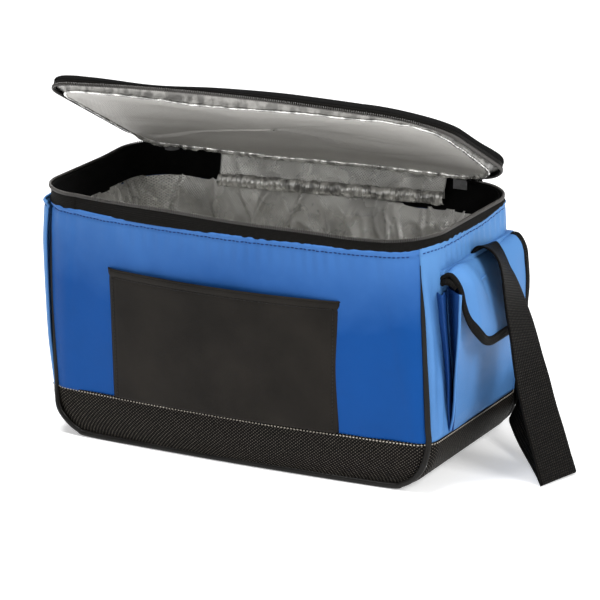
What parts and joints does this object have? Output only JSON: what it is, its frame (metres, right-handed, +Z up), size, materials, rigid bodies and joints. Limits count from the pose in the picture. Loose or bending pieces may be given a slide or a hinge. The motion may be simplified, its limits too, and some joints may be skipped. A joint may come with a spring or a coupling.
{
  "type": "insulated cooler bag",
  "caption": "Soft insulated cooler bag with a hinged zip lid, foil lining, front pocket, flapped side pocket and a webbing shoulder strap.",
  "frame": {"origin": "middle of the bag's base rectangle, on the floor it stands on", "axes": "+Z up, -Y towards the front panel with the flat pocket, +X towards the end with the side pocket"},
  "size_m": [0.4164, 0.2109, 0.2765],
  "materials": {
    "blue_nylon": "satin",
    "blue_nylon_side": "satin",
    "black_mesh": "matt, with small pale dots",
    "piping_black": "smooth, low gloss",
    "vinyl_black": "pebbled, satin",
    "foil": "crinkled metallic film",
    "foam_grey": "closed-cell foam",
    "board": "matt",
    "zip_tape": "woven",
    "zip_coil": "satin nylon",
    "slider_metal": "satin gunmetal",
    "webbing": "woven, ribbed",
    "binding": "woven tape",
    "hook_loop": "fuzzy",
    "lid_fabric": "satin"
  },
  "bodies": {
    "bag": {"front_panel": "blue_nylon", "back_panel": "blue_nylon", "left_side_panel": "blue_nylon_side", "right_side_panel": "blue_nylon_side", "front_band": "black_mesh", "back_band": "black_mesh", "left_band": "black_mesh", "right_band": "black_mesh", "bottom_panel": "black_mesh", "base_board": "board", "foam_front": "foam_grey", "foam_back": "foam_grey", "foam_left": "foam_grey", "foam_right": "foam_grey", "foam_bottom": "foam_grey", "lining_front": "foil", "lining_back": "foil", "lining_left": "foil", "lining_right": "foil", "lining_floor": "foil", "rim_band": "zip_tape", "rim_facing": "zip_tape", "body_zip_tape": "zip_tape", "body_zip_coil": "zip_coil", "front_piping": "piping_black", "rear_piping": "piping_black", "front_pocket": "vinyl_black", "front_pocket_hem": "vinyl_black", "side_pocket_panel": "blue_nylon_side", "side_pocket_gusset": "blue_nylon_side", "pocket_loop_patch": "hook_loop", "flap_seam_strip": "binding", "hinge_flap": "foil", "slider_left": "slider_metal", "slider_right": "slider_metal", "strap_front_run": "webbing", "strap_rear_run": "webbing"},
    "lid": {"lid_top": "lid_fabric", "lid_piping": "lid_fabric", "lid_side_band": "zip_tape", "lid_zip_tape": "zip_tape", "lid_zip_coil": "zip_coil", "lid_foam": "foam_grey", "lid_lining": "foil", "lid_lining_binding": "foil"},
    "pocket_flap": {"pocket_flap": "blue_nylon_side", "flap_binding": "binding", "flap_hook_patch": "hook_loop"},
    "pull_left": {"pull_left": "slider_metal"},
    "pull_right": {"pull_right": "slider_metal"}
  },
  "joints": [
    {"name": "lid_hinge", "type": "hinge", "parent": "bag", "child": "lid", "pos_m": [0, 0.082, 0.184], "axis": [-1, 0, 0], "range_deg": [-27, 123]},
    {"name": "pocket_flap_hinge", "type": "hinge", "parent": "bag", "child": "pocket_flap", "pos_m": [0.1515, 0, 0.157], "axis": [0, -1, 0], "range_deg": [0, 100], "deforming": ["strap_front_run"]},
    {"name": "pull_left_hinge", "type": "hinge", "parent": "bag", "child": "pull_left", "pos_m": [-0.1376, 0.08072, 0.173], "axis": [0.9246, 0.381, 0], "range_deg": [0, 90]},
    {"name": "pull_right_hinge", "type": "hinge", "parent": "bag", "child": "pull_right", "pos_m": [0.101, 0.0842, 0.173], "axis": [1, 0, 0], "range_deg": [0, 90]}
  ]
}
